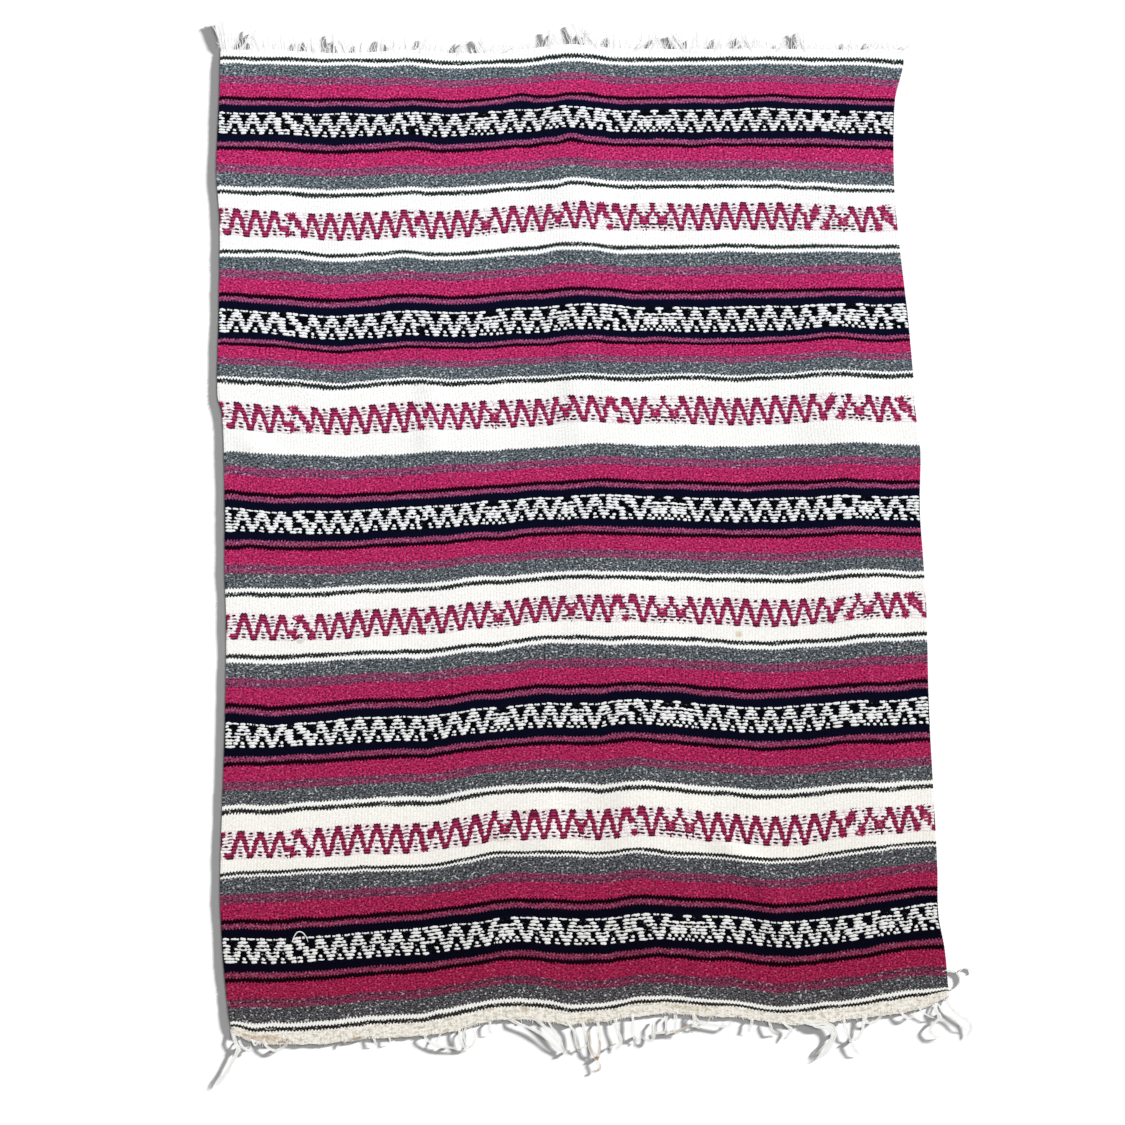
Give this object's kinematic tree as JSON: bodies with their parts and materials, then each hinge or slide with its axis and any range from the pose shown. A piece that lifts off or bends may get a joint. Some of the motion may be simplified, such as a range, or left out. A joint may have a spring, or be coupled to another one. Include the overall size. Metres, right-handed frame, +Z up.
{
  "type": "serape",
  "caption": "Striped woven serape laid flat, with zigzag bands, soft folds, and a short warp fringe at both ends.",
  "frame": {"origin": "middle of the bounding box, at the surface the cloth lies on", "axes": "+Z up out of the face of the cloth, +Y along the warp towards the plain fringed end with the thin white heading, +X across the cloth to the right when seen from above"},
  "size_m": [1.3712, 1.937, 0.0155],
  "materials": {
    "striped_wool": "matt handwoven weft-faced wool and acrylic blend, in stripes of white, grey, mauve, bright pink, dark blue and black",
    "white_warp": "matt white twisted cotton",
    "cream_warp": "matt cream twisted cotton, browned at the tips"
  },
  "bodies": {
    "root": {"cloth": "striped_wool", "fringe_top": "white_warp", "fringe_bottom": "cream_warp"}
  },
  "joints": []
}
